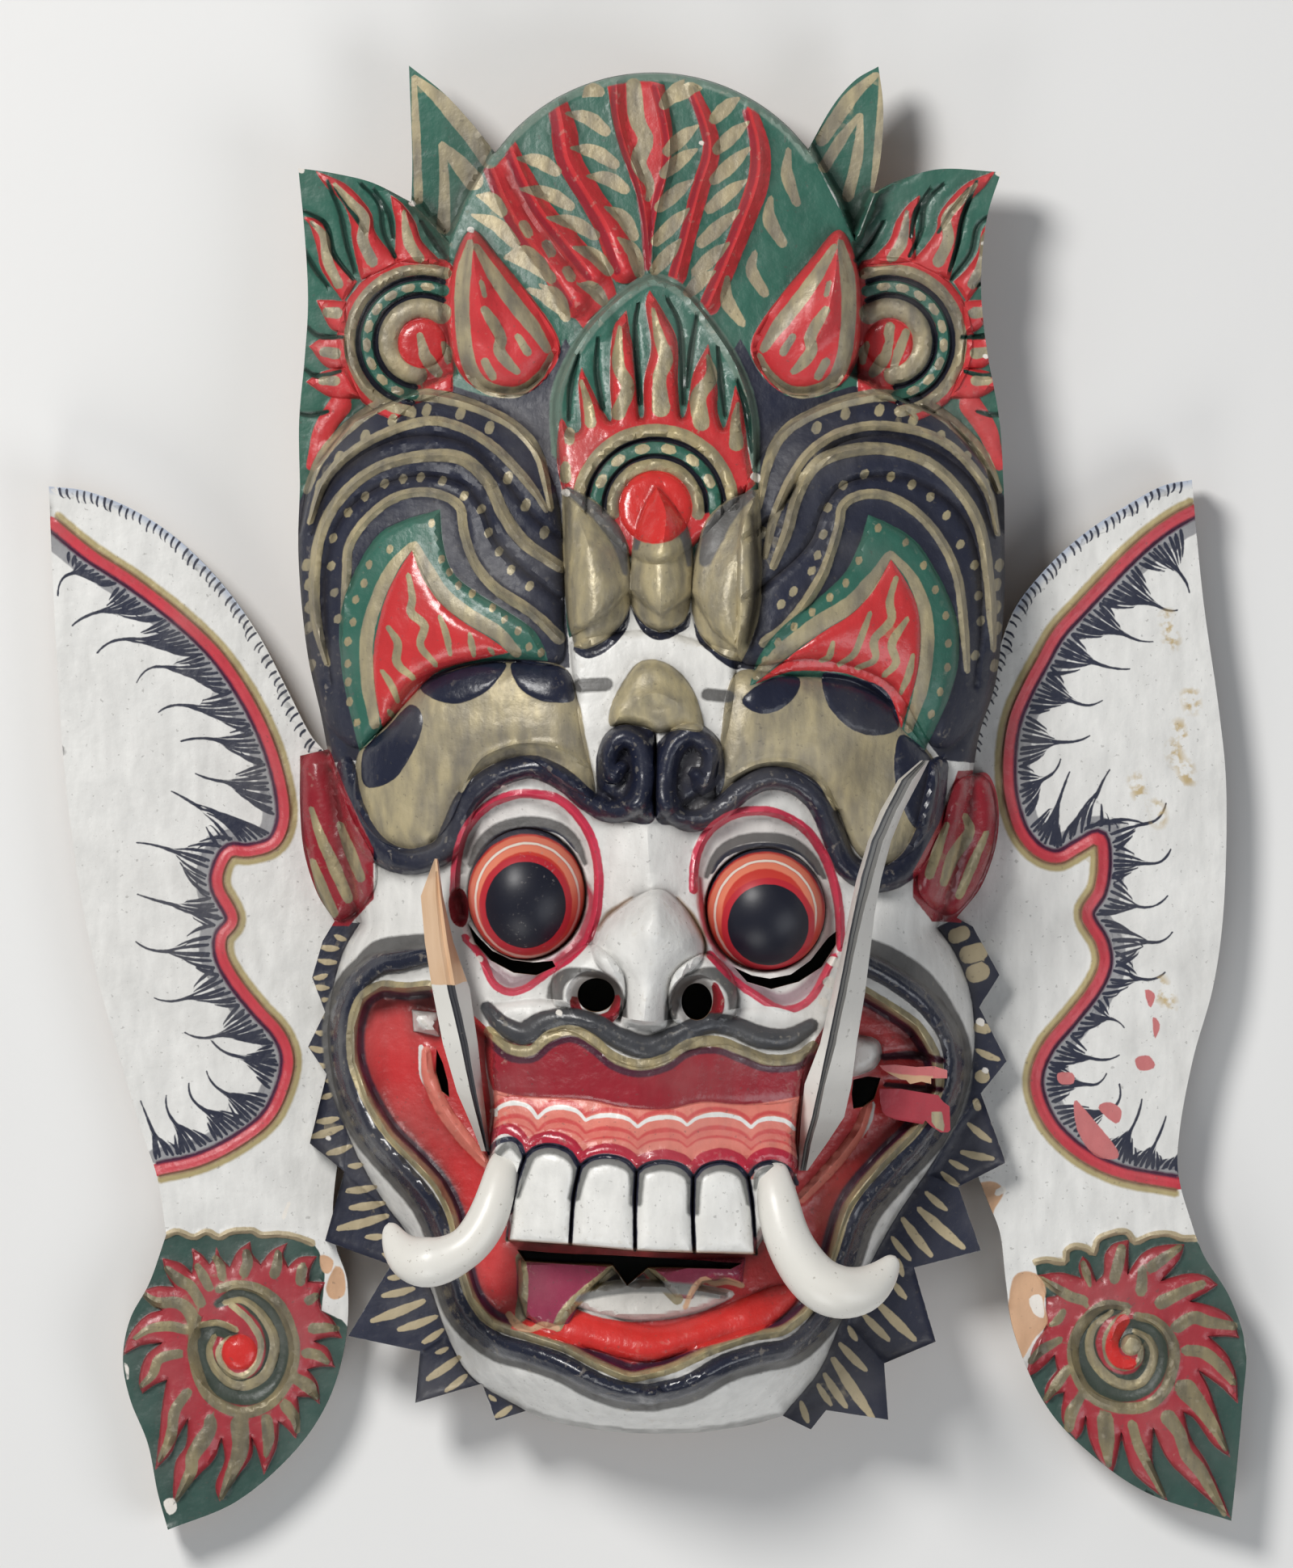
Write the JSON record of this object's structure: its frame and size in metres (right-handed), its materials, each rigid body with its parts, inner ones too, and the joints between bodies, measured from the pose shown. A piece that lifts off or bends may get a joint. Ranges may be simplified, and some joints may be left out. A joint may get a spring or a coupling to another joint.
{
  "type": "wooden mask",
  "caption": "Carved and painted wooden demon mask with a flame crown, bulging eyes, bared teeth with curled tusks and board ears; hollow behind, to hang on a wall or lie flat.",
  "frame": {"origin": "centre of the bounding box at the plane of the back rim, on which the mask lies", "axes": "+Y towards the crown, +Z out of the face, +X to the viewer's right"},
  "size_m": [0.4254, 0.52, 0.12],
  "materials": {
    "head": "carved wood, painted in many colours and varnished",
    "ear": "carved board, painted off-white with red, gold and green ornament",
    "fang": "thin wooden slat painted white with a dark stripe"
  },
  "bodies": {
    "root": {"head": "head", "ear_left": "ear", "ear_right": "ear", "fang_left": "fang", "fang_right": "fang"}
  },
  "joints": []
}
